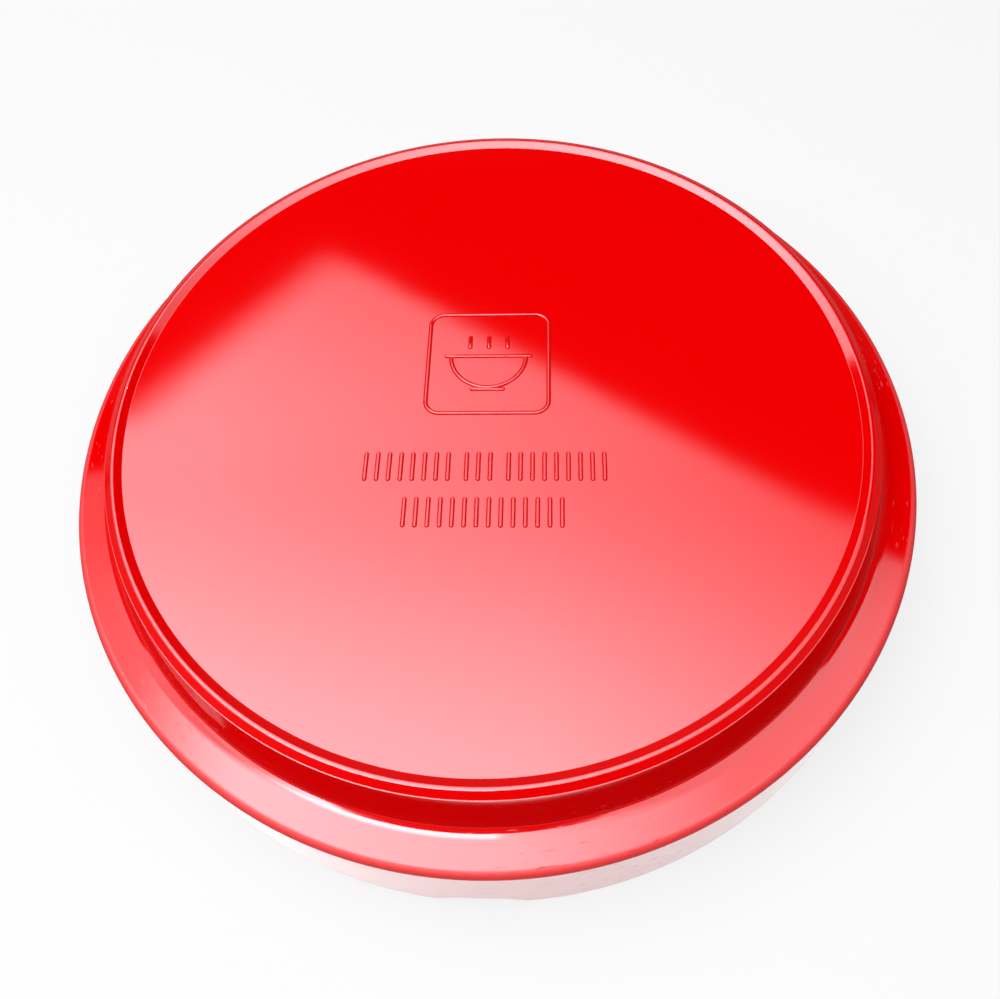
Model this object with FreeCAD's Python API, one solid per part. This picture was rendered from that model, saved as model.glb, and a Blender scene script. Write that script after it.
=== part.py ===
import FreeCAD, Part
import math
import os

from FreeCAD import Vector

# A shallow round rice bowl in moulded melamine with a drop-in lid, standing mouth down.
# The origin is the centre of the mouth plane, which is what the pair stands on. +Z runs up
# through the foot ring. The moulded mark on the base reads along +X, and the finger notch in
# the rim faces -Y. All sizes are in millimetres.

# ---- Bowl, outside ----
RIM_RADIUS = 85.0  # outer edge of the mouth
WALL_SPREAD = 1.7  # how far the side wall leans out from the shoulder's edge to the rim
WALL_HEIGHT = 24.6  # mouth plane to the shoulder's outer edge
SHOULDER_WIDTH = 7.5  # shoulder's edge to where the foot ring grows out of it
SHOULDER_RISE = 2.0  # how far the shoulder climbs from its edge to the foot ring
RING_LEAN = 2.6  # how far the foot ring leans in from the shoulder to its top
RING_HEIGHT = 9.1  # foot ring above the shoulder, without the bead
BEAD_WIDTH = 3.5  # round bead that the bowl stands on when it is in use
BEAD_SLOPE = 32.0  # degrees that the bead's inner flank rises at
PANEL_RISE = 0.1  # flat base panel above the ring's outer edge

# ---- Bowl, inside ----
WALL = 2.8  # wall at the mouth, and the shoulder's thickness
BASE_THICKNESS = 3.0
LEDGE_WIDTH = 2.0  # step inside the mouth that the lid comes down on

# ---- Finger notch in the rim ----
NOTCH_WIDTH = 19.0
NOTCH_TOP_WIDTH = 9.0
NOTCH_ROUNDING = 4.0

# ---- Lid ----
LID_EDGE = 3.2  # thickness of the lid's flange
LID_PANEL = 3.0  # thickness of the lid's middle
RECESS_DEPTH = 1.6  # the foot ring of a stacked bowl stands in this recess

# ---- Fits ----
LID_SIDE_CLEARANCE = 0.4  # lid's edge to the mouth, all round
LID_PLAY = 0.3  # lid's flange to the ledge
BOSS_CLEARANCE = 1.0  # lid's raised middle to the ledge's inner edge
STACK_CLEARANCE = 1.0  # a stacked foot ring to the recess
NOTCH_CLEARANCE = 0.5  # notch past the ledge, so that a fingertip gets behind the lid's flange

# ---- Roundings ----
RIM_ROUNDING = 0.7
SHOULDER_ROUNDING = 1.6
FOOT_ROUNDING = 0.8
BEAD_ROUNDING = 1.2
RING_ROUNDING = 0.3
LEDGE_ROUNDING = 0.4
INSIDE_ROUNDING = 3.0
LID_ROUNDING = 0.5

# ---- Moulded mark on the base panel: a framed bowl sign over two rows of plain strokes ----
STROKE = 0.9  # width of every raised line
RELIEF = 0.3  # height of every raised line
SIGN_SIZE = 24.6
SIGN_CORNER = 3.2
SIGN_CENTRE_Y = 9.8
SIGN_BOWL_RADIUS = 7.4  # middle of the line that draws the sign's bowl
SIGN_BOWL_RISE = 1.5  # sign's centre to the bowl's rim line
SIGN_FOOT_LENGTH = 6.0
GRAIN_SPACING = 3.7  # the three grains over the bowl
GRAIN_START = 2.2  # rim line to a grain's lower end
GRAIN_END = 4.6  # rim line to a grain's upper end
STROKE_LENGTH = 6.2
STROKE_PITCH = 2.2
GROUP_GAP = 3.4
ROWS = ((-13.8, (8, 3, 9)), (-23.3, (14,)))  # each row's place along Y, and its groups
OVERLAP = 0.2  # how far raised lines are rooted in the panel

# ---- Levels and lines that the pieces share ----
SHOULDER_RADIUS = RIM_RADIUS - WALL_SPREAD
FOOT_RADIUS = SHOULDER_RADIUS - SHOULDER_WIDTH
RING_RADIUS = FOOT_RADIUS - RING_LEAN
SHOULDER_TOP = WALL_HEIGHT + SHOULDER_RISE
RING_TOP = SHOULDER_TOP + RING_HEIGHT
PANEL_LEVEL = RING_TOP + PANEL_RISE
PANEL_RADIUS = RING_RADIUS - BEAD_WIDTH
WALL_LEAN = WALL_SPREAD / WALL_HEIGHT
LEDGE_LEVEL = LID_EDGE + LID_PLAY
NOTCH_DEPTH = LEDGE_LEVEL + NOTCH_CLEARANCE


def mouth_radius(height):
    """Inside radius of the mouth above the ledge, which leans like the outside."""
    return RIM_RADIUS - WALL - WALL_LEAN * height


LEDGE_RADIUS = mouth_radius(LEDGE_LEVEL) - LEDGE_WIDTH


def rounded_run(corners):
    """Edges of an open run through (radius, height, rounding) corners, each rounding a true arc."""
    points = [Vector(radius, 0, height) for radius, height, _ in corners]
    edges = []
    start = points[0]
    for before, corner, after, (_, _, rounding) in zip(points, points[1:], points[2:], corners[1:]):
        if rounding == 0:
            edges.append(Part.LineSegment(start, corner).toShape())
            start = corner
            continue
        incoming = (corner - before).normalize()
        outgoing = (after - corner).normalize()
        turn = incoming.getAngle(outgoing)
        setback = rounding * math.tan(turn / 2)
        arc_start = corner - incoming * setback
        arc_end = corner + outgoing * setback
        bisector = (outgoing - incoming).normalize()
        sagitta = rounding / math.cos(turn / 2) - rounding
        edges.append(Part.LineSegment(start, arc_start).toShape())
        edges.append(Part.Arc(arc_start, corner + bisector * sagitta, arc_end).toShape())
        start = arc_end
    edges.append(Part.LineSegment(start, points[-1]).toShape())
    return edges


def turned(edges):
    """Solid turned about the Z axis from a closed half outline."""
    face = Part.Face(Part.Wire(Part.sortEdges(edges)[0]))
    return face.revolve(Vector(0, 0, 0), Vector(0, 0, 1), 360)


def bowl_outline():
    """Half section of the bowl, from the base panel round the outside and back inside."""
    half_bead = BEAD_WIDTH / 2
    bead_peak = PANEL_LEVEL + half_bead * math.tan(math.radians(BEAD_SLOPE))
    floor_level = PANEL_LEVEL - BASE_THICKNESS
    shoulder_under = WALL_HEIGHT - WALL
    outline = rounded_run(
        [
            (0, PANEL_LEVEL, 0),
            (PANEL_RADIUS, PANEL_LEVEL, RING_ROUNDING),
            (PANEL_RADIUS + half_bead, bead_peak, BEAD_ROUNDING),
            (RING_RADIUS, RING_TOP, RING_ROUNDING),
            (FOOT_RADIUS, SHOULDER_TOP, FOOT_ROUNDING),
            (SHOULDER_RADIUS, WALL_HEIGHT, SHOULDER_ROUNDING),
            (RIM_RADIUS, 0, RIM_ROUNDING),
            (mouth_radius(0), 0, RIM_ROUNDING),
            (mouth_radius(LEDGE_LEVEL), LEDGE_LEVEL, LEDGE_ROUNDING),
            (LEDGE_RADIUS, LEDGE_LEVEL, LEDGE_ROUNDING),
            (SHOULDER_RADIUS - WALL - LEDGE_WIDTH, shoulder_under, INSIDE_ROUNDING),
            (FOOT_RADIUS - WALL, SHOULDER_TOP - WALL, INSIDE_ROUNDING / 2),
            (RING_RADIUS - WALL, floor_level, INSIDE_ROUNDING),
            (0, floor_level, 0),
        ]
    )
    axis = Part.LineSegment(Vector(0, 0, floor_level), Vector(0, 0, PANEL_LEVEL)).toShape()
    return [*outline, axis]


def finger_notch():
    """Cutter for the shallow notch that a fingertip lifts the lid by."""
    below = -RIM_ROUNDING
    half_bottom = NOTCH_WIDTH / 2
    half_top = NOTCH_TOP_WIDTH / 2
    sides = rounded_run(
        [
            (-half_bottom, below, 0),
            (-half_bottom, 0, 0),
            (-half_top, NOTCH_DEPTH, NOTCH_ROUNDING),
            (half_top, NOTCH_DEPTH, NOTCH_ROUNDING),
            (half_bottom, 0, 0),
            (half_bottom, below, 0),
        ]
    )
    closing = Part.LineSegment(Vector(half_bottom, 0, below), Vector(-half_bottom, 0, below))
    outline = Part.Wire(Part.sortEdges([*sides, closing.toShape()])[0])
    outside = -RIM_RADIUS - WALL
    inside = -RIM_RADIUS + 2 * WALL + LEDGE_WIDTH
    cutter = Part.Face(outline).extrude(Vector(0, inside - outside, 0))
    cutter.translate(Vector(0, outside, 0))
    return cutter


def raised(face):
    """Flat figure on the base panel made into a raised line."""
    solid = face.extrude(Vector(0, 0, RELIEF + OVERLAP))
    solid.translate(Vector(0, 0, PANEL_LEVEL - OVERLAP))
    return solid


def stroke(start, end):
    """Raised straight line with round ends between two (x, y) points."""
    first = Vector(*start, 0)
    last = Vector(*end, 0)
    along = (last - first).normalize()
    side = Vector(-along.y, along.x, 0) * (STROKE / 2)
    cap = along * (STROKE / 2)
    edges = [
        Part.LineSegment(first + side, last + side).toShape(),
        Part.Arc(last + side, last + cap, last - side).toShape(),
        Part.LineSegment(last - side, first - side).toShape(),
        Part.Arc(first - side, first - cap, first + side).toShape(),
    ]
    return raised(Part.Face(Part.Wire(edges)))


def rounded_square(size, corner):
    """Flat square with round corners, centred where the sign is."""
    half = size / 2
    middle = Part.makePlane(size, size, Vector(-half, SIGN_CENTRE_Y - half, 0))
    solid = middle.extrude(Vector(0, 0, 1))
    uprights = [edge for edge in solid.Edges if abs(edge.tangentAt(edge.FirstParameter).z) > 0.5]
    rounded = solid.makeFillet(corner, uprights)
    return min(rounded.Faces, key=lambda face: face.CenterOfMass.z)


def sign_frame():
    """Raised rounded square round the sign."""
    outer = raised(rounded_square(SIGN_SIZE, SIGN_CORNER))
    inner = raised(rounded_square(SIGN_SIZE - 2 * STROKE, SIGN_CORNER - STROKE))
    return outer.cut(inner)


def bowl_sign():
    """Raised lines of a plain bowl: a half circle under its rim, a foot, and three grains."""
    radius = SIGN_BOWL_RADIUS
    rim_y = SIGN_CENTRE_Y + SIGN_BOWL_RISE
    foot_y = rim_y - radius - STROKE / 2
    half_foot = SIGN_FOOT_LENGTH / 2
    outer = Part.Face(Part.Wire(Part.makeCircle(radius + STROKE / 2)))
    inner = Part.Face(Part.Wire(Part.makeCircle(radius - STROKE / 2)))
    lower_half = Part.makePlane(4 * radius, 2 * radius, Vector(-2 * radius, -2 * radius, 0))
    belly = outer.cut(inner).common(lower_half).Faces[0]
    belly.translate(Vector(0, rim_y, 0))
    lines = [raised(belly)]
    lines.append(stroke((-radius - STROKE, rim_y), (radius + STROKE, rim_y)))
    lines.append(stroke((-half_foot, foot_y), (half_foot, foot_y)))
    for grain_x in (-GRAIN_SPACING, 0, GRAIN_SPACING):
        lines.append(stroke((grain_x, rim_y + GRAIN_START), (grain_x, rim_y + GRAIN_END)))
    return lines


def stroke_row(centre_y, groups):
    """Row of upright strokes in evenly spaced groups, centred on the Y axis."""
    count = sum(groups)
    width = (count - len(groups)) * STROKE_PITCH + (len(groups) - 1) * GROUP_GAP
    half_length = (STROKE_LENGTH - STROKE) / 2
    lines = []
    x = -width / 2
    for group in groups:
        for _ in range(group):
            lines.append(stroke((x, centre_y - half_length), (x, centre_y + half_length)))
            x += STROKE_PITCH
        x += GROUP_GAP - STROKE_PITCH
    return lines


def bowl():
    """The bowl, one moulding with its foot ring, lid ledge, finger notch and moulded mark."""
    body = turned(bowl_outline()).cut(finger_notch())
    lines = [sign_frame(), *bowl_sign()]
    for centre_y, groups in ROWS:
        lines += stroke_row(centre_y, groups)
    return body.fuse(lines).removeSplitter()


def lid():
    """The lid, flush with the mouth plane, with a recess that a stacked foot ring stands in."""
    recess_radius = RING_RADIUS + STACK_CLEARANCE
    boss_radius = LEDGE_RADIUS - BOSS_CLEARANCE
    inner_level = RECESS_DEPTH + LID_PANEL
    outline = rounded_run(
        [
            (0, RECESS_DEPTH, 0),
            (recess_radius, RECESS_DEPTH, LID_ROUNDING),
            (recess_radius + RECESS_DEPTH / 2, 0, LID_ROUNDING),
            (mouth_radius(0) - LID_SIDE_CLEARANCE, 0, LID_ROUNDING),
            (mouth_radius(LID_EDGE) - LID_SIDE_CLEARANCE, LID_EDGE, LID_ROUNDING),
            (boss_radius, LID_EDGE, LID_ROUNDING),
            (boss_radius - LID_ROUNDING, inner_level, LID_ROUNDING),
            (0, inner_level, 0),
        ]
    )
    axis = Part.LineSegment(Vector(0, 0, inner_level), Vector(0, 0, RECESS_DEPTH)).toShape()
    return turned([*outline, axis])


os.makedirs("parts", exist_ok=True)
for name, piece in (("bowl", bowl()), ("lid", lid())):
    piece.exportStep(f"parts/{name}.step")
    box = piece.BoundBox
    print(name, piece.isValid(), len(piece.Solids), round(piece.Volume / 1000, 2), "cm3",
          round(box.XLength, 2), round(box.YLength, 2), round(box.ZMin, 2), round(box.ZMax, 2))
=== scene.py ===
import math

import bpy
from bpy.props import FloatProperty, FloatVectorProperty, IntProperty, PointerProperty
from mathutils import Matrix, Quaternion, Vector


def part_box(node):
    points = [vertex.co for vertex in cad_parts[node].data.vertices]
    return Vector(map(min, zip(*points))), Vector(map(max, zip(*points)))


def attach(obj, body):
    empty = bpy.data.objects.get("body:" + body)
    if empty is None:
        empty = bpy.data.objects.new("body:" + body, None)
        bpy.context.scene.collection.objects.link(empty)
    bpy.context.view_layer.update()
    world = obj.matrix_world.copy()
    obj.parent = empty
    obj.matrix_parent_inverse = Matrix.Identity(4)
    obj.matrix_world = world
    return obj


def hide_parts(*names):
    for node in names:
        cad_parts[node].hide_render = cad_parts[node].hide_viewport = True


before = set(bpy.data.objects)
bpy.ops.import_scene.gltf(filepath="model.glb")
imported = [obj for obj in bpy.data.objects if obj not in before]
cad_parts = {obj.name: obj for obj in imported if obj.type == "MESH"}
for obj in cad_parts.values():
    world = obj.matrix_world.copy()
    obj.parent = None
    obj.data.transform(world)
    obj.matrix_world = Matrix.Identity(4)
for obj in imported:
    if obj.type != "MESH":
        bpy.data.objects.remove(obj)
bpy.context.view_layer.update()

bl_info = {
    "name": "Rice Bowl With Drop-In Lid",
    "version": (1, 0, 0),
    "blender": (4, 5, 0),
    "location": "3D View > Sidebar > Rice Bowl",
    "description": "Models a moulded melamine rice bowl and its lid around their packed frame",
    "category": "Object",
}

MM = 0.001
TINY = 0.001 * MM  # points closer than this are one point
ROOT = 0.2 * MM  # how far raised lines are sunk into the panel that carries them

# Where the frame's own nodes end.
_, BOWL_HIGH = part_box("bowl")
_, LID_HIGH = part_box("lid")
RIM_RADIUS = BOWL_HIGH.x
CREST_LEVEL = BOWL_HIGH.z
LID_RADIUS = LID_HIGH.x
LID_TOP = LID_HIGH.z

# Slopes of the bowl's section.
BEAD_SLOPE = math.radians(31.5)  # sides of the bead where they leave the flats
SWEEP_SLOPE = math.radians(24)  # shoulder just beside the foot ring

# How finely round edges and round pieces are made.
FINE_ROUNDING = 0.3 * MM  # radii under this take the fewer steps
FINE_STEPS = 3
ARC_STEPS = 10
FRAME_CORNER_STEPS = 12
RELIEF_STEPS = 4
BAR_CORNERS = 24
RING_CORNERS = 96
ROUND = 0.5  # profile of a bevel that is an arc
NEARLY_STRAIGHT = 0.28  # profile of the raised lines' sloping sides

# The rubbed band along the shoulder's edge: it comes in below the edge's level and ends above it.
BAND_BELOW = (1.3 * MM, 0.9 * MM)
BAND_ABOVE = (0.4 * MM, 0.2 * MM)

# Wear and texture of the melamine. Counts are per metre, or per radian round the bowl.
RUBBED_DEPTH = 8 * MM  # hairlines start this far below the bead's crest
HAIRLINES_ROUND = 30.0
HAIRLINES_ACROSS = 2200.0
HAIRLINE_NOISE = (0.62, 0.72)  # part of the noise that becomes a hairline
PATCH_COUNT = 30.0
PATCH_NOISE = (0.5, 0.66)  # part of the noise that becomes a worn patch
SPECK_CELLS = 140.0
SPECK_SIZE = 0.03  # largest speck, as part of a cell
SPECK_SHARE = 0.12  # share of the cells that hold one
SPECK_COLOUR = (0.8, 0.35, 0.35, 1)
SPECK_ROUGHNESS = 0.3
CLOUD_COUNT = 60.0
CLOUD_NOISE = (0.3, 0.7)
CLOUD_SHADE = (0.94, 1.0)  # how far clouds take the colour from its dark end to its full one
CLOUD_ROUGHNESS = 0.02
DARK_SHARE = 0.9  # dark end of the red, as a share of the full one
MELAMINE_IOR = 1.6
WAVE_UNIT = 0.01 * MM

# The table. Its mirror image fades out between these two distances, in rim radii from the axis.
TABLE_SIZE = 40.0
TABLE_DROP = 0.1 * MM
MIRROR_FADE = (1.12, 1.45)
TABLE_BLUE = 0.95
TABLE_ROUGHNESS = 0.8

# The light panel, in metres from the bowl's axis. A lit shape's straight edge is a bearing in degrees
# and a distance from the axis.
PANEL_X = -0.25
PANEL_Y = 0.15
PANEL_SPAN = (3.3, 2.0, 1)
PANEL_TINT = (1, 0.98, 1.04, 1)
STRIP_EDGE = (81, 0.53)
SQUARE_RIGHT_EDGE = (57, 0.625)
SQUARE_LEFT_EDGE = (140, 0.911)
SQUARE_LEFT_STEEPNESS = 0.5  # the square's left edge fades out half as steeply as the others
SQUARE_CORNER_BLEND = 0.06
SQUARE_STRIP_BLEND = 0.05
LIT_FEATHER = 0.045
FRONT_SPAN = (0.55, 0.0)  # Y at which the front light starts, and is full
RIGHT_SPAN = (0.0, 0.5)  # X over which the front light weakens towards the right
RIGHT_SHARE = 0.3
SIDE_SPAN = (-0.5, 0.5)  # X over which the whole light falls from left to right
SIDE_CHANGE = (2.2, -1.6)
LEFT_END_SPAN = (-1.05, -0.6)  # X over which the light comes up from the panel's left end
LEFT_END_SHARE = 0.2
BACK_END_SPAN = (0.95, 0.55)  # Y over which it comes up from the panel's back
BACK_END_SHARE = 0.6
LAMP_Y = (-0.52, -0.66)  # Y at which the front left lamp starts, and is full
LAMP_X = (0.0, -0.03)

# The backdrop, by height in a direction: 0 is the horizon and 1 is straight up.
HORIZON_BAND = (0.3, 0.55)
CEILING = 0.02

# The camera.
EYE = Vector((11.72, -96.65, 179.24)) * MM
AIM = Vector((2.41, -14.78, 24.6)) * MM
ROLL = math.radians(-5.667)
NEAREST = 5 * MM


def length(name, description, default):
    """A size that a user may change, in metres."""
    return FloatProperty(name=name, description=description, default=default, min=0, unit="LENGTH")


def place(name, description, default):
    """A place along an axis, in metres, that may be on either side of the bowl's middle."""
    return FloatProperty(name=name, description=description, default=default, unit="LENGTH")


def colour(name, description, default):
    """A colour that a user may change."""
    return FloatVectorProperty(
        name=name, description=description, default=default, subtype="COLOR", size=3, min=0, max=1
    )


def share(name, description, default):
    """A value from 0 to 1 that a user may change."""
    return FloatProperty(
        name=name, description=description, default=default, subtype="FACTOR", min=0, max=1
    )


def strength(name, description, default):
    """A brightness that a user may change."""
    return FloatProperty(name=name, description=description, default=default, min=0)


class BowlSizes(bpy.types.PropertyGroup):
    """Sizes of the bowl's section, from the base panel to the rim."""

    shoulder_radius: length("Shoulder", "Outer edge of the shoulder", 83.3 * MM)
    foot_radius: length("Foot", "Foot ring where it leaves the shoulder", 75.8 * MM)
    ring_radius: length("Ring", "Foot ring's outer edge, under the bead", 73.2 * MM)
    wall_height: length("Wall height", "Mouth plane to the shoulder's edge", 24.6 * MM)
    shoulder_rise: length("Shoulder rise", "Climb of the shoulder to the foot ring", 2 * MM)
    bead_width: length("Bead width", "Width of the round bead on the foot ring", 3.25 * MM)
    ring_flat: length("Ring flat", "Flat edge of the ring outside the bead", 0.14 * MM)
    ring_drop: length("Ring drop", "Ring's outer edge below the base panel", 0.1 * MM)
    panel_recess: length("Panel recess", "Base panel below the bead's crest", 0.86 * MM)
    wall: length("Wall", "Thickness of the wall", 2.8 * MM)
    base: length("Base", "Thickness of the base panel", 3 * MM)
    ledge_width: length("Ledge width", "Step that the lid comes down on", 2 * MM)
    ledge_level: length("Ledge level", "Depth of the ledge inside the mouth", 3.5 * MM)
    ledge_rounding: length("Ledge rounding", "Radius of the ledge's edges", 0.4 * MM)
    inside_rounding: length("Inside rounding", "Radius of the inside's wide corners", 3 * MM)
    well_rounding: length("Well rounding", "Radius inside, where the foot ring starts", 1.5 * MM)
    notch_width: length("Notch width", "Finger notch along the rim", 19 * MM)
    notch_top: length("Notch top", "Length of the notch at its full depth", 7 * MM)
    notch_depth: length("Notch depth", "Finger notch above the rim", 4 * MM)
    rim_rounding: length("Rim rounding", "Radius of the rim's edges", 0.7 * MM)
    ring_rounding: length("Ring rounding", "Radius on both sides of the bead", 0.16 * MM)
    foot_rounding: length("Foot rounding", "Hollow between shoulder and foot ring", 0.7 * MM)
    sweep_width: length("Sweep width", "Steeper part of the shoulder beside the foot ring", 1.4 * MM)
    sweep_rounding: length("Sweep rounding", "Radius of the shoulder's sweep", 7 * MM)
    shoulder_rounding: length("Shoulder rounding", "Radius of the shoulder's edge", 1.6 * MM)
    turns: IntProperty(name="Turning steps", description="Faces round the bowl", default=480, min=32)


class LidSizes(bpy.types.PropertyGroup):
    """Sizes of the drop-in lid's section."""

    edge: length("Edge", "Thickness of the flange", 3.2 * MM)
    recess_depth: length("Recess depth", "Stacking recess in the outer face", 1.6 * MM)
    recess_radius: length("Recess radius", "Edge of the stacking recess", 74.2 * MM)
    boss_radius: length("Boss radius", "Raised middle of the inner face", 78.96 * MM)
    rounding: length("Rounding", "Radius of the lid's edges", 0.5 * MM)


class MarkSizes(bpy.types.PropertyGroup):
    """Sizes of the moulded mark on the base panel."""

    stroke: length("Stroke", "Width of every raised line", 0.9 * MM)
    relief: length("Relief", "Height of every raised line", 0.3 * MM)
    sign_size: length("Sign", "Side of the framed sign", 24.6 * MM)
    sign_corner: length("Sign corner", "Corner radius of the frame", 3.2 * MM)
    sign_y: length("Sign place", "Centre of the sign along Y", 9.8 * MM)
    sign_bowl: length("Sign's bowl", "Radius of the half circle in the sign", 7.4 * MM)
    sign_rise: length("Sign's rim line", "Centre of the sign to the bowl's rim line", 1.5 * MM)
    sign_foot: length("Sign's foot", "Length of the foot line", 6 * MM)
    grain_spacing: length("Grain spacing", "Distance from grain to grain", 3.7 * MM)
    grain_rise: length("Grain rise", "Rim line to the middle of the grains", 3.4 * MM)
    grain_length: length("Grain length", "Length of a grain between its round ends", 2.4 * MM)
    upper_row_y: place("Upper row", "Middle of the upper row along Y", -13.8 * MM)
    lower_row_y: place("Lower row", "Middle of the lower row along Y", -23.3 * MM)
    stroke_length: length("Stroke length", "Height of the upright strokes", 6.2 * MM)
    pitch: length("Pitch", "Distance from stroke to stroke", 2.2 * MM)
    gap: length("Gap", "Distance from group to group", 3.4 * MM)


class Finish(bpy.types.PropertyGroup):
    """The look of the moulded melamine."""

    red: colour("Red", "Colour of the melamine", (0.3, 0, 0.0002))
    roughness: share("Roughness", "Roughness of the polished skin", 0.06)
    wear: share("Wear", "Strength of the scuffs", 0.5)
    edge_wear: share("Edge wear", "Roughness added where the shoulder's edge is rubbed", 0.6)
    wave_size: length("Wave size", "Width of the faint waves in the skin", 9 * MM)
    wave_height: share("Wave height", "Height of the faint waves, in hundredths of a millimetre", 0.4)


class StageSettings(bpy.types.PropertyGroup):
    """Floor, light and camera."""

    floor: share("Floor", "Whiteness of the table beside the bowl as the bowl mirrors it", 0.54)
    floor_far: share("Floor far", "Whiteness of the table's mirror image away from the bowl", 0.05)
    floor_seen: share("Floor seen", "Whiteness of the table that is not mirrored", 0.088)
    floor_glow: share("Floor glow", "Light that fills the table's shadows for the camera", 0.7)
    panel_height: length("Light height", "Height of the light panel", 1.0)
    back_light: strength("Back light", "Strength at the panel's back", 2.7)
    front_light: strength("Front light", "Added towards the panel's front", 5.3)
    lamp_light: strength("Lamp", "Added by the front left lamp", 9.0)
    horizon: strength("Horizon", "Brightness of the backdrop at the horizon", 0.15)
    wall_seen: share("Wall seen", "Brightness of the wall behind the table for the camera", 1)
    lens: FloatProperty(name="Lens", description="Focal length", default=32.4, min=1, unit="CAMERA")


def select_where(test):
    """In edit mode, selects only the vertices whose place passes the test."""
    bpy.ops.mesh.select_all(action="DESELECT")
    bpy.ops.object.mode_set(mode="OBJECT")
    for vertex in bpy.context.object.data.vertices:
        vertex.select = test(vertex.co)
    bpy.ops.object.mode_set(mode="EDIT")


def begin_edit(name):
    """Names the new primitive and opens it for editing, by vertices."""
    bpy.context.object.name = name
    bpy.context.object.data.name = name
    bpy.ops.object.mode_set(mode="EDIT")
    bpy.ops.mesh.select_mode(type="VERT")


def end_edit():
    """Closes the edit with its place put into the mesh, and returns the object."""
    bpy.ops.object.mode_set(mode="OBJECT")
    bpy.ops.object.transform_apply(location=True, rotation=True, scale=True)
    return bpy.context.object


def setback(before, corner, after, rounding):
    """Distance along both sides of a corner at which an arc of that radius begins."""
    turn = (corner - before).angle(after - corner)
    return rounding * math.tan(turn / 2)


def draw_outline(corners):
    """Draws a half section through (radius, height, rounding) corners, extruded point by point."""
    points = [Vector((radius, 0, height)) for radius, height, _ in corners]
    bpy.ops.mesh.merge(type="CENTER")
    for before, after in zip(points, points[1:]):
        bpy.ops.mesh.extrude_region_move(TRANSFORM_OT_translate={"value": after - before})
    for before, corner, after, (_, _, rounding) in zip(points, points[1:], points[2:], corners[1:]):
        if rounding:
            select_where(lambda spot: (spot - corner).length < TINY)
            bpy.ops.mesh.bevel(
                affect="VERTICES",
                offset_type="OFFSET",
                offset=setback(before, corner, after, rounding),
                segments=FINE_STEPS if rounding < FINE_ROUNDING else ARC_STEPS,
                profile=ROUND,
            )


def turn_solid(name, corners, steps):
    """Turns a half section about the Z axis into a closed shell."""
    bpy.ops.object.select_all(action="DESELECT")
    radius, height, _ = corners[0]
    bpy.ops.mesh.primitive_plane_add(size=MM, location=(radius, 0, height))
    bpy.ops.object.transform_apply(location=True, rotation=True, scale=True)
    begin_edit(name)
    draw_outline(corners)
    shell = end_edit()
    bpy.ops.object.modifier_add(type="SCREW")
    screw = shell.modifiers[-1]
    screw.angle = math.tau
    screw.steps = screw.render_steps = steps
    screw.use_merge_vertices = True
    bpy.ops.object.modifier_apply(modifier=screw.name)
    bpy.ops.object.mode_set(mode="EDIT")
    bpy.ops.mesh.select_all(action="SELECT")
    bpy.ops.mesh.remove_doubles(threshold=TINY)
    bpy.ops.mesh.normals_make_consistent(inside=False)
    bpy.ops.object.mode_set(mode="OBJECT")
    return shell


def smooth(piece):
    """Smooth shading in which broad faces keep their own direction beside their rounded edges."""
    bpy.ops.object.select_all(action="DESELECT")
    piece.select_set(True)
    bpy.context.view_layer.objects.active = piece
    bpy.ops.object.shade_smooth()
    bpy.ops.object.modifier_add(type="WEIGHTED_NORMAL")
    bpy.ops.object.modifier_apply(modifier=piece.modifiers[-1].name)


def finish_piece(piece, body, stands_for=None):
    """Gives the piece its melamine and its body, and hides the frame's node it stands for."""
    piece.data.materials.clear()
    piece.data.materials.append(melamine())
    if stands_for:
        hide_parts(stands_for)
    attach(piece, body)


def mouth_lean(sizes):
    """How far the wall leans out for each unit of height."""
    return (RIM_RADIUS - sizes.shoulder_radius) / sizes.wall_height


def bowl_corners(sizes):
    """The bowl's half section: base panel, bead, foot ring, shoulder, wall, mouth and inside."""
    panel_level = CREST_LEVEL - sizes.panel_recess
    ring_top = panel_level - sizes.ring_drop
    shoulder_top = sizes.wall_height + sizes.shoulder_rise
    floor_level = panel_level - sizes.base
    bead_outside = sizes.ring_radius - sizes.ring_flat
    bead_middle = bead_outside - sizes.bead_width / 2
    panel_radius = bead_outside - sizes.bead_width
    sweep_drop = math.tan(SWEEP_SLOPE) * sizes.sweep_width
    peak, bead_rounding = bead_peak(sizes)
    mouth = RIM_RADIUS - sizes.wall
    lean = mouth_lean(sizes) * sizes.ledge_level
    inside_shoulder = sizes.shoulder_radius - sizes.wall - sizes.ledge_width
    return [
        (0, panel_level, 0),
        (panel_radius, panel_level, sizes.ring_rounding),
        (bead_middle, peak, bead_rounding),
        (bead_outside, ring_top, sizes.ring_rounding),
        (sizes.ring_radius, ring_top, sizes.ring_rounding),
        (sizes.foot_radius, shoulder_top, sizes.foot_rounding),
        (sizes.foot_radius + sizes.sweep_width, shoulder_top - sweep_drop, sizes.sweep_rounding),
        (sizes.shoulder_radius, sizes.wall_height, sizes.shoulder_rounding),
        (RIM_RADIUS, 0, sizes.rim_rounding),
        (mouth, 0, sizes.rim_rounding),
        (mouth - lean, sizes.ledge_level, sizes.ledge_rounding),
        (mouth - lean - sizes.ledge_width, sizes.ledge_level, sizes.ledge_rounding),
        (inside_shoulder, sizes.wall_height - sizes.wall, sizes.inside_rounding),
        (sizes.foot_radius - sizes.wall, shoulder_top - sizes.wall, sizes.well_rounding),
        (sizes.ring_radius - sizes.wall, floor_level, sizes.inside_rounding),
        (0, floor_level, 0),
    ]


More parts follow.
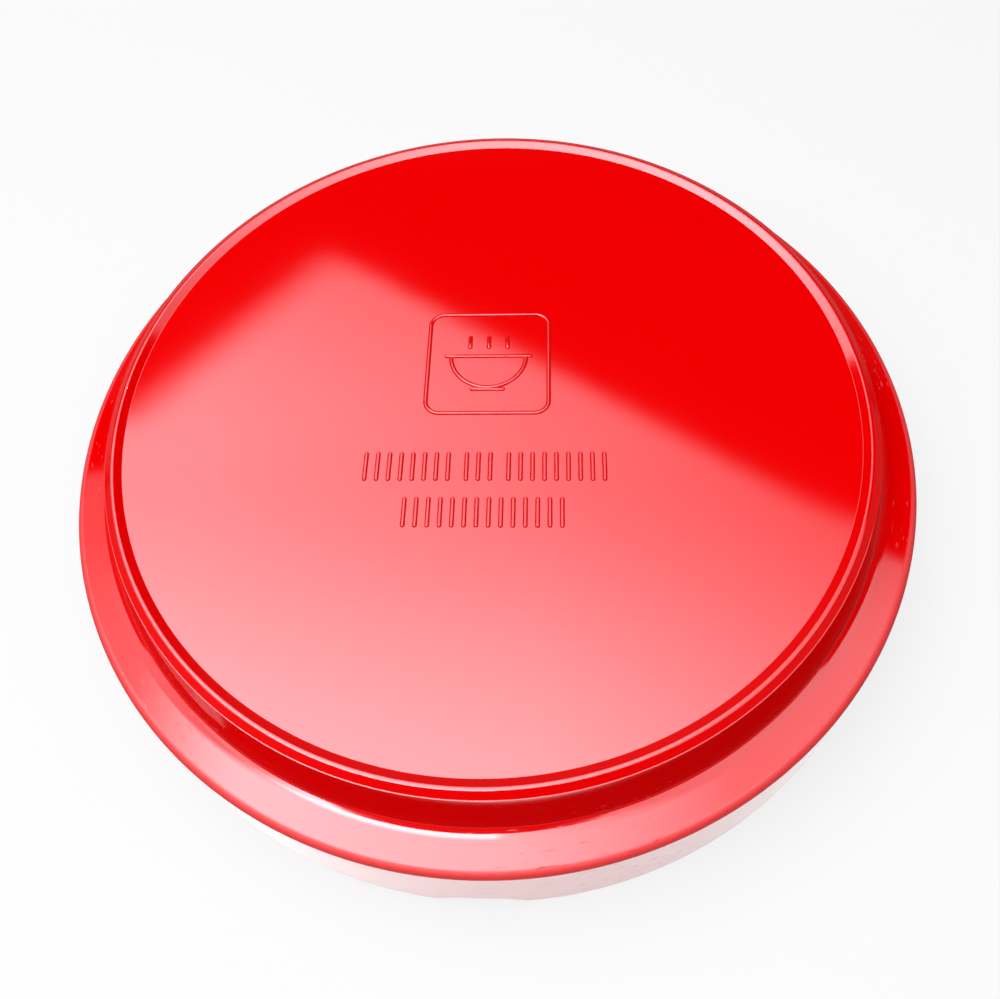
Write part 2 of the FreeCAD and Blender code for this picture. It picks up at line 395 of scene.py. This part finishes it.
def bead_peak(sizes):
    """Height of the corner over the bead, and the radius that rounds it down to the crest."""
    rise = math.tan(BEAD_SLOPE) * sizes.bead_width / 2
    radius = (rise - sizes.panel_recess) / (1 / math.cos(BEAD_SLOPE) - 1)
    return CREST_LEVEL - sizes.panel_recess + rise, radius


def raise_notch(sizes):
    """Draws the rim up into the notch: its middle by the whole depth, and what lies beside it less."""
    rim_top = sizes.rim_rounding + TINY
    select_where(lambda spot: spot.y < 0 and spot.z < rim_top and abs(spot.x) < sizes.notch_top / 2)
    bpy.ops.transform.translate(
        value=(0, mouth_lean(sizes) * sizes.notch_depth, sizes.notch_depth),
        use_proportional_edit=True,
        proportional_edit_falloff="SMOOTH",
        proportional_size=(sizes.notch_width - sizes.notch_top) / 2,
    )


class RICEBOWL_OT_bowl(bpy.types.Operator):
    """Models the bowl as one moulding with its foot ring, ledge and finger notch"""

    bl_idname = "ricebowl.bowl"
    bl_label = "Bowl"

    def execute(self, context):
        sizes = context.scene.rice_bowl_sizes
        bowl = turn_solid("bowl_moulding", bowl_corners(sizes), sizes.turns)
        bpy.ops.object.mode_set(mode="EDIT")
        raise_notch(sizes)
        bpy.ops.object.mode_set(mode="OBJECT")
        smooth(bowl)
        finish_piece(bowl, "bowl", "bowl")
        return {"FINISHED"}


class RICEBOWL_OT_lid(bpy.types.Operator):
    """Models the drop-in lid with the recess that a stacked foot ring stands in"""

    bl_idname = "ricebowl.lid"
    bl_label = "Lid"

    def execute(self, context):
        sizes = context.scene.rice_bowl_lid
        lean = mouth_lean(context.scene.rice_bowl_sizes) * sizes.edge
        rounding = sizes.rounding
        corners = [
            (0, sizes.recess_depth, 0),
            (sizes.recess_radius, sizes.recess_depth, rounding),
            (sizes.recess_radius + sizes.recess_depth / 2, 0, rounding),
            (LID_RADIUS, 0, rounding),
            (LID_RADIUS - lean, sizes.edge, rounding),
            (sizes.boss_radius, sizes.edge, rounding),
            (sizes.boss_radius - rounding, LID_TOP, rounding),
            (0, LID_TOP, 0),
        ]
        lid = turn_solid("lid_moulding", corners, context.scene.rice_bowl_sizes.turns)
        smooth(lid)
        finish_piece(lid, "lid", "lid")
        return {"FINISHED"}


def panel_level(context):
    """Height of the flat base panel that the mark stands on."""
    return CREST_LEVEL - context.scene.rice_bowl_sizes.panel_recess


def raise_line(mark):
    """Extrudes the flat figure being edited into a raised line with sloping sides."""
    bpy.ops.mesh.select_all(action="SELECT")
    bpy.ops.mesh.extrude_region_move(TRANSFORM_OT_translate={"value": (0, 0, mark.relief + ROOT)})
    bpy.ops.mesh.region_to_loop()
    bpy.ops.mesh.bevel(
        affect="EDGES", offset=mark.relief, segments=RELIEF_STEPS, profile=NEARLY_STRAIGHT
    )
    bpy.ops.mesh.select_all(action="SELECT")
    bpy.ops.mesh.normals_make_consistent(inside=False)


def raised_bar(mark, middle, reach):
    """A raised line with round ends: a small disc pulled apart both ways from its middle."""
    bpy.ops.object.select_all(action="DESELECT")
    bpy.ops.mesh.primitive_circle_add(
        vertices=BAR_CORNERS,
        radius=mark.stroke / 2,
        fill_type="NGON",
        location=middle,
        rotation=(0, 0, math.pi / BAR_CORNERS),
    )
    bpy.ops.object.transform_apply(location=True, rotation=True, scale=True)
    begin_edit("bar")
    for side in (-1, 1):
        select_where(lambda spot: (spot - middle).dot(reach) * side > 0)
        bpy.ops.transform.translate(value=reach * side)
    raise_line(mark)
    return end_edit()


def copy_at(piece, offset):
    """A copy of the piece with its own mesh, moved by an offset that its mesh takes up."""
    bpy.ops.object.select_all(action="DESELECT")
    piece.select_set(True)
    bpy.context.view_layer.objects.active = piece
    bpy.ops.object.duplicate(linked=False)
    bpy.ops.transform.translate(value=offset)
    bpy.ops.object.transform_apply(location=True, rotation=True, scale=True)
    return bpy.context.object


def join_all(name, pieces):
    """Joins pieces into one named object."""
    bpy.ops.object.select_all(action="DESELECT")
    for piece in pieces:
        piece.select_set(True)
    bpy.context.view_layer.objects.active = pieces[0]
    bpy.ops.object.join()
    pieces[0].name = name
    pieces[0].data.name = name
    return pieces[0]


def stroke_places(mark, groups):
    """Places along X of a row's strokes, centred on the bowl's axis."""
    places = []
    x = 0
    for group in groups:
        for _ in range(group):
            places.append(x)
            x += mark.pitch
        x += mark.gap - mark.pitch
    middle = (places[0] + places[-1]) / 2
    return [x - middle for x in places]


class RICEBOWL_OT_stroke_rows(bpy.types.Operator):
    """Models two rows of plain raised strokes under the sign"""

    bl_idname = "ricebowl.stroke_rows"
    bl_label = "Stroke Rows"

    def execute(self, context):
        mark = context.scene.rice_bowl_mark
        level = panel_level(context) - ROOT
        reach = Vector((0, (mark.stroke_length - mark.stroke) / 2, 0))
        rows = (
            ("upper_stroke_row", mark.upper_row_y, (8, 3, 9)),
            ("lower_stroke_row", mark.lower_row_y, (14,)),
        )
        for name, y, groups in rows:
            first, *others = stroke_places(mark, groups)
            stroke = raised_bar(mark, Vector((first, y, level)), reach)
            copies = [copy_at(stroke, (x - first, 0, 0)) for x in others]
            row = join_all(name, [stroke, *copies])
            smooth(row)
            finish_piece(row, "bowl")
        return {"FINISHED"}


class RICEBOWL_OT_sign(bpy.types.Operator):
    """Models the raised frame and the plain bowl sign inside it"""

    bl_idname = "ricebowl.sign"
    bl_label = "Sign"

    def execute(self, context):
        mark = context.scene.rice_bowl_mark
        level = panel_level(context) - ROOT
        rim = Vector((0, mark.sign_y + mark.sign_rise, level))
        belly_end = Vector((mark.sign_bowl + mark.stroke, 0, 0))
        foot = rim - Vector((0, mark.sign_bowl + mark.stroke / 2, 0))
        grain_reach = Vector((0, mark.grain_length / 2, 0))
        lines = [self.belly(mark, rim), raised_bar(mark, rim, belly_end)]
        lines.append(raised_bar(mark, foot, Vector((mark.sign_foot / 2, 0, 0))))
        for x in (-mark.grain_spacing, 0, mark.grain_spacing):
            lines.append(raised_bar(mark, rim + Vector((x, mark.grain_rise, 0)), grain_reach))
        for piece in (self.frame(mark, level), join_all("bowl_sign", lines)):
            smooth(piece)
            finish_piece(piece, "bowl")
        return {"FINISHED"}

    def frame(self, mark, level):
        """A square ring with round corners."""
        bpy.ops.object.select_all(action="DESELECT")
        bpy.ops.mesh.primitive_plane_add(size=mark.sign_size, location=(0, mark.sign_y, level))
        bpy.ops.object.transform_apply(location=True, rotation=True, scale=True)
        begin_edit("sign_frame")
        bpy.ops.mesh.select_all(action="SELECT")
        bpy.ops.mesh.bevel(
            affect="VERTICES", offset=mark.sign_corner, segments=FRAME_CORNER_STEPS, profile=ROUND
        )
        bpy.ops.mesh.select_all(action="SELECT")
        bpy.ops.mesh.inset(thickness=mark.stroke)
        bpy.ops.mesh.delete(type="FACE")
        raise_line(mark)
        return end_edit()

    def belly(self, mark, rim):
        """The lower half of a ring under the rim line."""
        bpy.ops.object.select_all(action="DESELECT")
        bpy.ops.mesh.primitive_circle_add(
            vertices=RING_CORNERS,
            radius=mark.sign_bowl + mark.stroke / 2,
            fill_type="NGON",
            location=rim,
        )
        bpy.ops.object.transform_apply(location=True, rotation=True, scale=True)
        begin_edit("belly")
        bpy.ops.mesh.select_all(action="SELECT")
        bpy.ops.mesh.inset(thickness=mark.stroke)
        bpy.ops.mesh.delete(type="FACE")
        bpy.ops.mesh.select_all(action="SELECT")
        bpy.ops.mesh.bisect(plane_co=rim, plane_no=(0, 1, 0), clear_outer=True)
        raise_line(mark)
        return end_edit()


def node(tree, kind, **inputs):
    """Adds a shader node and sets or links its inputs by name."""
    made = tree.nodes.new(kind)
    for name, value in inputs.items():
        put(tree, made, name.replace("_", " "), value)
    return made


def put(tree, made, name, value):
    """Sets one input, by name or number, or links it when the value is another node's output."""
    socket = made.inputs[name]
    if isinstance(value, bpy.types.NodeSocket):
        tree.links.new(value, socket)
    else:
        socket.default_value = value


def new_group(name, inputs, output):
    """Starts a shader node group with number inputs, a place input and one number output."""
    tree = bpy.data.node_groups.new(name, "ShaderNodeTree")
    tree.interface.new_socket("Place", in_out="INPUT", socket_type="NodeSocketVector")
    for socket in inputs:
        tree.interface.new_socket(socket, in_out="INPUT", socket_type="NodeSocketFloat")
    tree.interface.new_socket(output, in_out="OUTPUT", socket_type="NodeSocketFloat")
    start = tree.nodes.new("NodeGroupInput").outputs
    return tree, start


def end_group(tree, name, value):
    """Joins a value to the group's output."""
    put(tree, tree.nodes.new("NodeGroupOutput"), name, value)


def use_group(tree, group, output, **inputs):
    """Places a node group in a material and returns its named output."""
    placed = tree.nodes.new("ShaderNodeGroup")
    placed.node_tree = group
    for name, value in inputs.items():
        put(tree, placed, name.replace("_", " "), value)
    return placed.outputs[output]


def maths(tree, operation, first, second=0.0, third=0.0):
    """One step of arithmetic on numbers or outputs."""
    made = tree.nodes.new("ShaderNodeMath")
    made.operation = operation
    for index, value in enumerate((first, second, third)):
        put(tree, made, index, value)
    return made.outputs["Value"]


def ramp(tree, value, low, high, to_low=0.0, to_high=1.0, soft=True):
    """A value's way from low to high, turned into the way from to_low to to_high."""
    made = node(tree, "ShaderNodeMapRange", Value=value)
    made.interpolation_type = "SMOOTHSTEP" if soft else "LINEAR"
    for name, number in (("From Min", low), ("From Max", high), ("To Min", to_low), ("To Max", to_high)):
        put(tree, made, name, number)
    return made.outputs["Result"]


def skin_waves():
    """Faint waves that a polished mould leaves in a large face, as a height."""
    if "skin_waves" in bpy.data.node_groups:
        return bpy.data.node_groups["skin_waves"]
    tree, start = new_group("skin_waves", ("Scale", "Height"), "Height")
    waves = node(tree, "ShaderNodeTexNoise", Vector=start["Place"], Scale=start["Scale"], Detail=1.0)
    centred = maths(tree, "SUBTRACT", waves.outputs["Fac"], 0.5)
    end_group(tree, "Height", maths(tree, "MULTIPLY", centred, start["Height"]))
    return tree


def specks():
    """Scattered pinpricks of dust and pitting, as a mask."""
    if "specks" in bpy.data.node_groups:
        return bpy.data.node_groups["specks"]
    tree, start = new_group("specks", ("Scale", "Size", "Share"), "Mask")
    cells = node(tree, "ShaderNodeTexVoronoi", Vector=start["Place"], Scale=start["Scale"])
    lot = node(tree, "ShaderNodeSeparateColor", Color=cells.outputs["Color"])
    chosen = maths(tree, "LESS_THAN", lot.outputs["Red"], start["Share"])
    size = maths(tree, "MULTIPLY", lot.outputs["Green"], start["Size"])
    near = maths(tree, "LESS_THAN", cells.outputs["Distance"], size)
    end_group(tree, "Mask", maths(tree, "MULTIPLY", chosen, near))
    return tree


def rubbed_lines():
    """Short hairlines that run round the bowl, gathered in worn patches, as a mask."""
    if "rubbed_lines" in bpy.data.node_groups:
        return bpy.data.node_groups["rubbed_lines"]
    tree, start = new_group("rubbed_lines", ("Along", "Across", "Patch Scale"), "Mask")
    parts = node(tree, "ShaderNodeSeparateXYZ", Vector=start["Place"]).outputs
    turn = maths(tree, "ARCTAN2", parts["Y"], parts["X"])
    radius = node(tree, "ShaderNodeCombineXYZ", X=parts["X"], Y=parts["Y"]).outputs["Vector"]
    span = tree.nodes.new("ShaderNodeVectorMath")
    span.operation = "LENGTH"
    put(tree, span, 0, radius)
    around = node(
        tree,
        "ShaderNodeCombineXYZ",
        X=maths(tree, "MULTIPLY", turn, start["Along"]),
        Y=maths(tree, "MULTIPLY", span.outputs["Value"], start["Across"]),
        Z=maths(tree, "MULTIPLY", parts["Z"], start["Across"]),
    ).outputs["Vector"]
    lines = node(tree, "ShaderNodeTexNoise", Vector=around, Scale=1.0, Detail=2.0)
    patches = node(tree, "ShaderNodeTexNoise", Vector=start["Place"], Scale=start["Patch Scale"])
    thin = ramp(tree, lines.outputs["Fac"], *HAIRLINE_NOISE)
    worn = ramp(tree, patches.outputs["Fac"], *PATCH_NOISE)
    end_group(tree, "Mask", maths(tree, "MULTIPLY", thin, worn))
    return tree


def mixed_colour(tree, factor, first, second):
    """A colour on the way from the first to the second."""
    made = tree.nodes.new("ShaderNodeMix")
    made.data_type = "RGBA"
    put(tree, made, 0, factor)
    ends = [index for index, socket in enumerate(made.inputs) if socket.type == "RGBA"]
    for index, value in zip(ends, (first, second)):
        put(tree, made, index, value)
    return next(socket for socket in made.outputs if socket.type == "RGBA")


def wear_of(tree, spot, finish):
    """Roughness added by hairlines below the foot ring and by the rubbed band."""
    height = node(tree, "ShaderNodeSeparateXYZ", Vector=spot).outputs["Z"]
    streaks = use_group(
        tree,
        rubbed_lines(),
        "Mask",
        Place=spot,
        Along=HAIRLINES_ROUND,
        Across=HAIRLINES_ACROSS,
        Patch_Scale=PATCH_COUNT,
    )
    rubbed_top = CREST_LEVEL - RUBBED_DEPTH
    low = ramp(tree, height, rubbed_top, rubbed_top + MM, 1.0, 0.0)
    edge_level = bpy.context.scene.rice_bowl_sizes.wall_height
    band = maths(
        tree,
        "MULTIPLY",
        ramp(tree, height, *(edge_level - below for below in BAND_BELOW)),
        ramp(tree, height, *(edge_level + above for above in BAND_ABOVE)),
    )
    rubbing = maths(tree, "MULTIPLY", maths(tree, "MULTIPLY", streaks, low), finish.wear)
    return maths(tree, "MULTIPLY_ADD", band, finish.edge_wear, rubbing)


def melamine():
    """Polished moulded melamine: red all through, faintly wavy, with light rubbing and specks."""
    if "polished_melamine" in bpy.data.materials:
        return bpy.data.materials["polished_melamine"]
    finish = bpy.context.scene.rice_bowl_finish
    material = bpy.data.materials.new("polished_melamine")
    material.use_nodes = True
    tree = material.node_tree
    shader = tree.nodes["Principled BSDF"]
    spot = node(tree, "ShaderNodeTexCoord").outputs["Object"]
    specked = use_group(
        tree, specks(), "Mask", Place=spot, Scale=SPECK_CELLS, Size=SPECK_SIZE, Share=SPECK_SHARE
    )
    cloud = node(tree, "ShaderNodeTexNoise", Vector=spot, Scale=CLOUD_COUNT, Detail=3.0).outputs["Fac"]
    dark_red = (*(channel * DARK_SHARE for channel in finish.red), 1)
    shade = ramp(tree, cloud, *CLOUD_NOISE, *CLOUD_SHADE)
    clean = mixed_colour(tree, shade, dark_red, (*finish.red, 1))
    put(tree, shader, "Base Color", mixed_colour(tree, specked, clean, SPECK_COLOUR))
    rough = maths(tree, "MULTIPLY_ADD", cloud, CLOUD_ROUGHNESS, finish.roughness - CLOUD_ROUGHNESS / 2)
    rough = maths(tree, "ADD", rough, wear_of(tree, spot, finish))
    put(tree, shader, "Roughness", maths(tree, "MULTIPLY_ADD", specked, SPECK_ROUGHNESS, rough))
    shader.inputs["IOR"].default_value = MELAMINE_IOR
    waves = use_group(
        tree, skin_waves(), "Height", Place=spot, Scale=1 / finish.wave_size, Height=finish.wave_height
    )
    bump = node(tree, "ShaderNodeBump", Height=waves, Distance=WAVE_UNIT)
    put(tree, shader, "Normal", bump.outputs["Normal"])
    return material


class RICEBOWL_OT_stage(bpy.types.Operator):
    """Sets up the pale table, the soft light and the camera"""

    bl_idname = "ricebowl.stage"
    bl_label = "Stage"

    def execute(self, context):
        stage = context.scene.rice_bowl_stage
        self.table(stage)
        self.light_panel(stage)
        self.backdrop(context, stage)
        self.camera(context, stage)
        context.scene.view_settings.view_transform = "Standard"
        return {"FINISHED"}

    def table(self, stage):
        """A broad matt table just under the rim, whose mirror image fades out away from the bowl."""
        bpy.ops.object.select_all(action="DESELECT")
        bpy.ops.mesh.primitive_plane_add(size=TABLE_SIZE, location=(0, 0, -TABLE_DROP))
        table = bpy.context.object
        table.name = "table"
        material = bpy.data.materials.new("pale_table")
        material.use_nodes = True
        tree = material.node_tree
        paths = node(tree, "ShaderNodeLightPath").outputs
        spot = node(tree, "ShaderNodeTexCoord").outputs["Object"]
        away = tree.nodes.new("ShaderNodeVectorMath")
        away.operation = "LENGTH"
        put(tree, away, 0, spot)
        fade = (RIM_RADIUS * radii for radii in MIRROR_FADE)
        beside = ramp(tree, away.outputs["Value"], *fade, stage.floor, stage.floor_far)
        mirrored = maths(tree, "MULTIPLY", paths["Is Glossy Ray"], beside)
        tone = maths(tree, "MAXIMUM", mirrored, stage.floor_seen)
        blue = maths(tree, "MULTIPLY", tone, TABLE_BLUE)
        shade = node(tree, "ShaderNodeCombineColor", Red=tone, Green=tone, Blue=blue)
        glow = maths(tree, "MULTIPLY", paths["Is Camera Ray"], stage.floor_glow)
        shader = tree.nodes["Principled BSDF"]
        put(tree, shader, "Base Color", shade.outputs["Color"])
        shader.inputs["Roughness"].default_value = TABLE_ROUGHNESS
        shader.inputs["Specular IOR Level"].default_value = 0.0
        shader.inputs["Emission Color"].default_value = (1, 1, 1, 1)
        put(tree, shader, "Emission Strength", glow)
        table.data.materials.append(material)

    def light_panel(self, stage):
        """One large soft panel overhead, hidden from the camera itself."""
        bpy.ops.object.select_all(action="DESELECT")
        bpy.ops.mesh.primitive_plane_add(size=1, location=(PANEL_X, PANEL_Y, stage.panel_height))
        bpy.ops.transform.resize(value=PANEL_SPAN)
        bpy.ops.object.transform_apply(location=True, rotation=True, scale=True)
        panel = bpy.context.object
        panel.name = "light_panel"
        panel.data.materials.append(self.panel_glow(stage))
        panel.visible_camera = False

    def panel_glow(self, stage):
        """The panel's light: a lit shape with soft edges, stronger towards the front and the left."""
        material = bpy.data.materials.new("panel_glow")
        material.use_nodes = True
        tree = material.node_tree
        tree.nodes.clear()
        spot = node(tree, "ShaderNodeTexCoord").outputs["Object"]
        parts = node(tree, "ShaderNodeSeparateXYZ", Vector=spot).outputs
        brightness = self.brightness(tree, parts["X"], parts["Y"], stage)
        lit = maths(tree, "MULTIPLY", brightness, self.lit_shape(tree, spot))
        glow = node(tree, "ShaderNodeEmission", Color=PANEL_TINT, Strength=lit)
        node(tree, "ShaderNodeOutputMaterial", Surface=glow.outputs["Emission"])
        return material

    def lit_shape(self, tree, spot):
        """A long strip, and the corner of a square that juts out behind it, as a mask."""
        strip = self.inside_edge(tree, spot, *STRIP_EDGE)
        right = self.inside_edge(tree, spot, *SQUARE_RIGHT_EDGE)
        left = maths(
            tree, "MULTIPLY", self.inside_edge(tree, spot, *SQUARE_LEFT_EDGE), SQUARE_LEFT_STEEPNESS
        )
        corner = maths(tree, "SMOOTH_MIN", right, left, SQUARE_CORNER_BLEND)
        shape = maths(tree, "SMOOTH_MAX", strip, corner, SQUARE_STRIP_BLEND)
        return ramp(tree, shape, 0.0, LIT_FEATHER)

    def brightness(self, tree, x, y, stage):
        """How strong the light is over the panel, before its lit shape is cut out."""
        forward = ramp(tree, y, *FRONT_SPAN, 0.0, stage.front_light)
        right = ramp(tree, x, *RIGHT_SPAN, 1.0, RIGHT_SHARE, soft=False)
        forward = maths(tree, "MULTIPLY_ADD", forward, right, stage.back_light)
        sideways = ramp(tree, x, *SIDE_SPAN, *SIDE_CHANGE, soft=False)
        lamp = maths(tree, "MULTIPLY", ramp(tree, y, *LAMP_Y), ramp(tree, x, *LAMP_X))
        level = maths(tree, "ADD", forward, sideways)
        level = maths(tree, "MULTIPLY_ADD", lamp, stage.lamp_light, level)
        far_left = ramp(tree, x, *LEFT_END_SPAN, LEFT_END_SHARE, 1.0)
        far_back = ramp(tree, y, *BACK_END_SPAN, BACK_END_SHARE, 1.0)
        return maths(tree, "MULTIPLY", level, maths(tree, "MULTIPLY", far_left, far_back))

    def inside_edge(self, tree, spot, bearing, distance):
        """How far inside a straight edge a spot lies, for an edge that far out on that bearing."""
        turn = math.radians(bearing)
        across = tree.nodes.new("ShaderNodeVectorMath")
        across.operation = "DOT_PRODUCT"
        put(tree, across, 0, spot)
        across.inputs[1].default_value = (math.cos(turn), math.sin(turn), 0)
        return maths(tree, "SUBTRACT", distance, across.outputs["Value"])

    def backdrop(self, context, stage):
        """A dim band round the horizon under a dark ceiling, seen by the camera as a pale wall."""
        world = bpy.data.worlds.new("studio")
        context.scene.world = world
        world.use_nodes = True
        tree = world.node_tree
        tree.nodes.clear()
        direction = node(tree, "ShaderNodeTexCoord").outputs["Generated"]
        height = node(tree, "ShaderNodeSeparateXYZ", Vector=direction).outputs["Z"]
        band = ramp(tree, height, *HORIZON_BAND, stage.horizon, CEILING)
        seen = node(tree, "ShaderNodeLightPath").outputs["Is Camera Ray"]
        glow = maths(tree, "MAXIMUM", band, maths(tree, "MULTIPLY", seen, stage.wall_seen))
        sky = node(tree, "ShaderNodeBackground", Strength=glow)
        node(tree, "ShaderNodeOutputWorld", Surface=sky.outputs["Background"])

    def camera(self, context, stage):
        """A close camera in front, looking steeply down, with a slight tilt of the head."""
        bpy.ops.object.camera_add(location=EYE)
        camera = bpy.context.object
        camera.name = "camera"
        camera.rotation_mode = "QUATERNION"
        look = (AIM - EYE).to_track_quat("-Z", "Y")
        camera.rotation_quaternion = look @ Quaternion((0, 0, 1), ROLL)
        camera.data.lens = stage.lens
        camera.data.clip_start = NEAREST
        context.scene.camera = camera


class RICEBOWL_PT_panel(bpy.types.Panel):
    """Lists the steps that build the bowl"""

    bl_label = "Rice Bowl"
    bl_idname = "RICEBOWL_PT_panel"
    bl_space_type = "VIEW_3D"
    bl_region_type = "UI"
    bl_category = "Rice Bowl"

    def draw(self, context):
        for name in STEPS:
            self.layout.operator(f"ricebowl.{name}")


STEPS = ("bowl", "lid", "sign", "stroke_rows", "stage")
GROUPS = {
    "rice_bowl_sizes": BowlSizes,
    "rice_bowl_lid": LidSizes,
    "rice_bowl_mark": MarkSizes,
    "rice_bowl_finish": Finish,
    "rice_bowl_stage": StageSettings,
}
OPERATORS = (
    RICEBOWL_OT_bowl,
    RICEBOWL_OT_lid,
    RICEBOWL_OT_sign,
    RICEBOWL_OT_stroke_rows,
    RICEBOWL_OT_stage,
)
CLASSES = (*GROUPS.values(), *OPERATORS, RICEBOWL_PT_panel)


def register():
    for made in CLASSES:
        bpy.utils.register_class(made)
    for name, group in GROUPS.items():
        setattr(bpy.types.Scene, name, PointerProperty(type=group))


def unregister():
    for name in GROUPS:
        delattr(bpy.types.Scene, name)
    for made in reversed(CLASSES):
        bpy.utils.unregister_class(made)


def main():
    """Builds the bowl step by step."""
    register()
    for name in STEPS:
        getattr(bpy.ops.ricebowl, name)()


if __name__ == "__main__":
    main()
